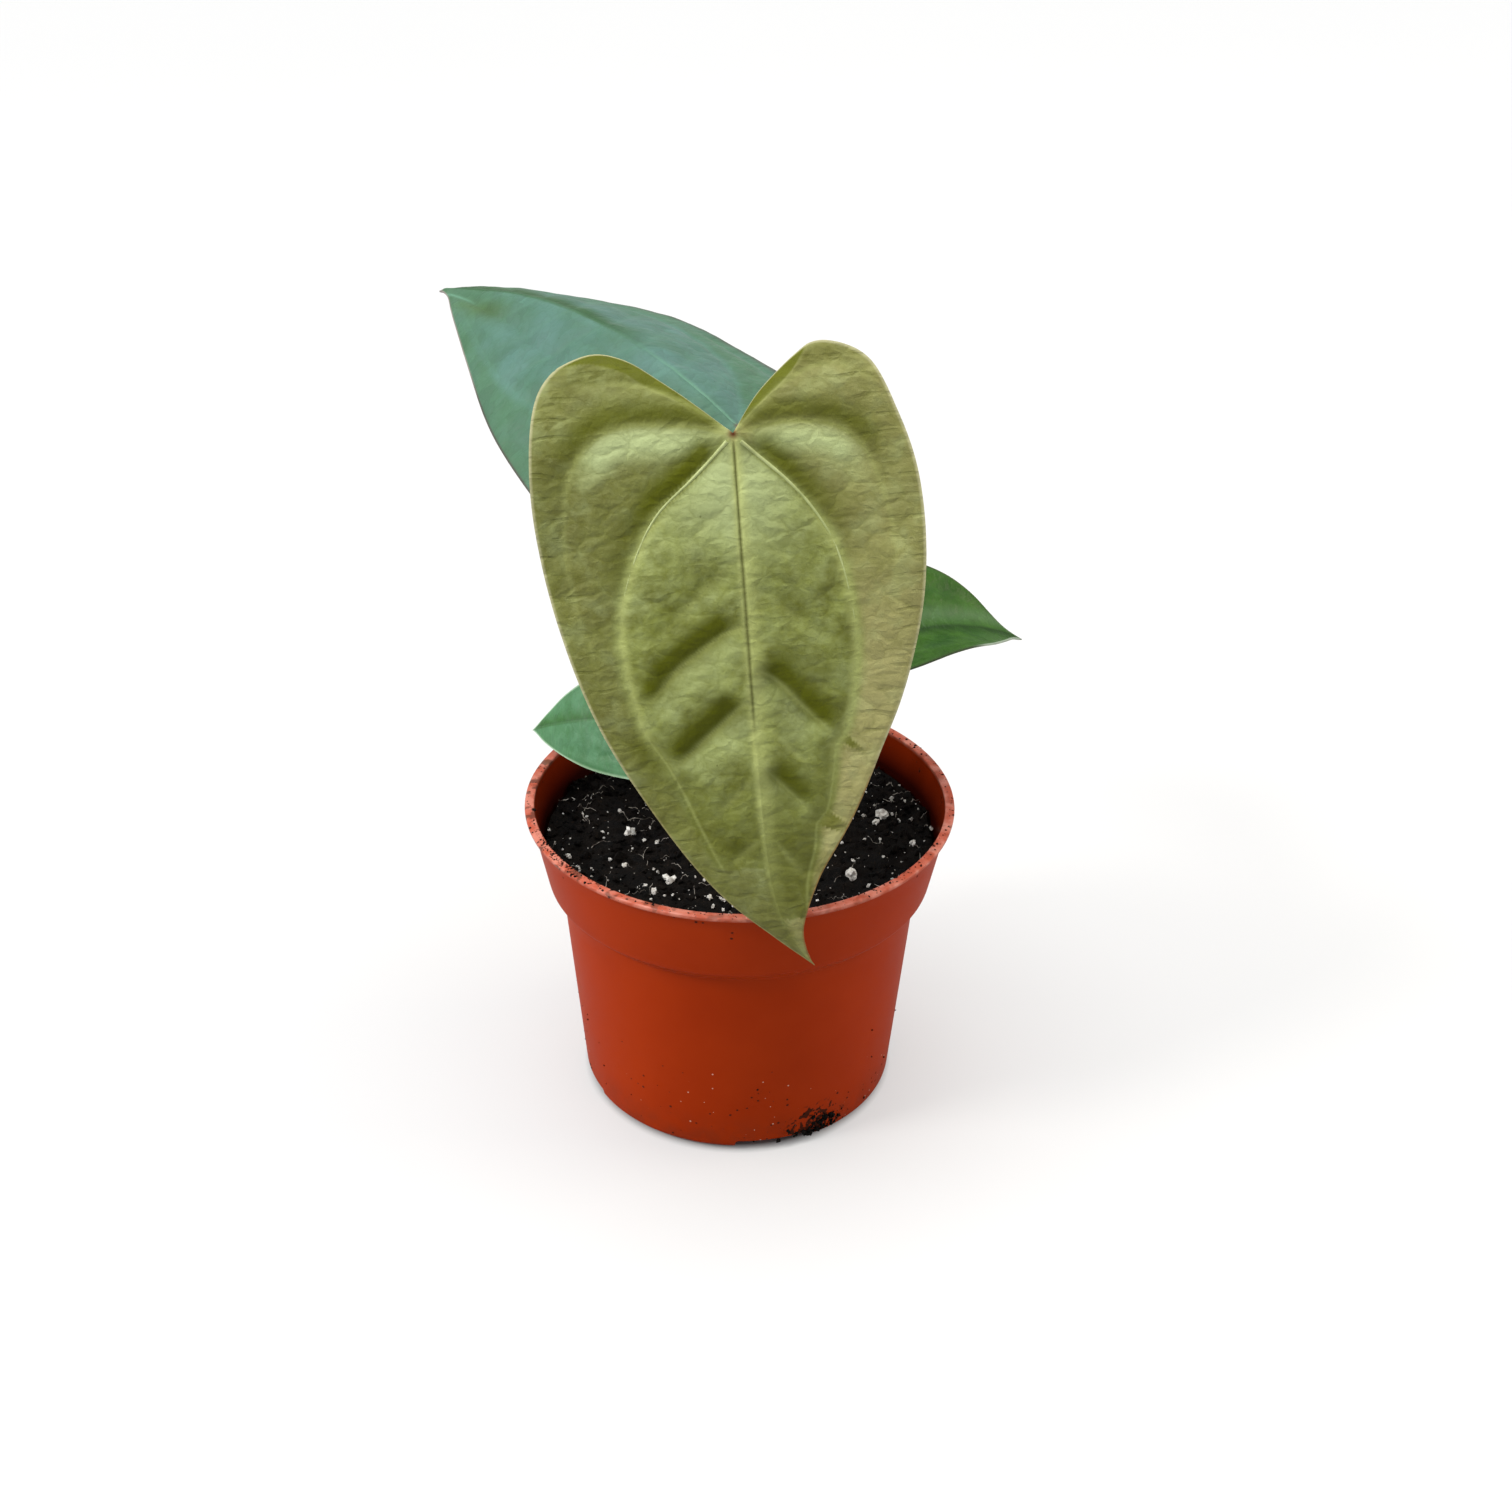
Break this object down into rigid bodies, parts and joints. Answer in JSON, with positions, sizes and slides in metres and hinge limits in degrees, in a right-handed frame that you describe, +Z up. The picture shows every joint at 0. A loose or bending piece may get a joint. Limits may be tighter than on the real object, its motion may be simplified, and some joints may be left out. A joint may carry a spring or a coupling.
{
  "type": "potted anthurium",
  "caption": "Young anthurium with heart-shaped leaves on slender stalks, growing in peat in a round terracotta-coloured plastic nursery pot.",
  "frame": {"origin": "centre of the standing pad under the pot, on the surface that the pot stands on", "axes": "+Z up along the pot's axis; -Y towards the front leaf, whose tip hangs over the rim; +X to the viewer's right"},
  "size_m": [0.172, 0.177, 0.2286],
  "materials": {
    "pot_plastic": "terracotta-coloured moulded polypropylene, satin gloss, dusty with soil specks",
    "peat_soil": "moist black peat with crumbs and fibres, matte",
    "perlite": "white porous mineral grain, matte",
    "stem_skin": "green-brown ringed stem skin",
    "root_skin": "pale fleshy root skin",
    "dry_sheath": "dry papery brown sheath",
    "petiole_skin": "smooth green stalk, flushed red at both ends",
    "olive_leaf": "olive-bronze young leaf, quilted, satin sheen, pale veins",
    "teal_leaf": "blue-green velvety leaf, satin, with a dark thin edge",
    "green_leaf": "deep green leaf, glossy",
    "blue_green_leaf": "blue-green leaf, satin"
  },
  "bodies": {
    "root": {"blade_back": "teal_leaf", "blade_front": "olive_leaf", "blade_left": "blue_green_leaf", "blade_right": "green_leaf", "crown": "stem_skin", "leaf_sheath_1": "dry_sheath", "leaf_sheath_2": "dry_sheath", "leaf_sheath_3": "dry_sheath", "perlite_1": "perlite", "perlite_2": "perlite", "perlite_3": "perlite", "perlite_4": "perlite", "perlite_5": "perlite", "perlite_6": "perlite", "perlite_7": "perlite", "perlite_8": "perlite", "petiole_back": "petiole_skin", "petiole_front": "petiole_skin", "petiole_left": "petiole_skin", "petiole_right": "petiole_skin", "pot": "pot_plastic", "potting_soil": "peat_soil", "root_1": "root_skin", "root_2": "root_skin", "root_3": "root_skin", "root_4": "root_skin", "root_5": "root_skin"}
  },
  "joints": []
}
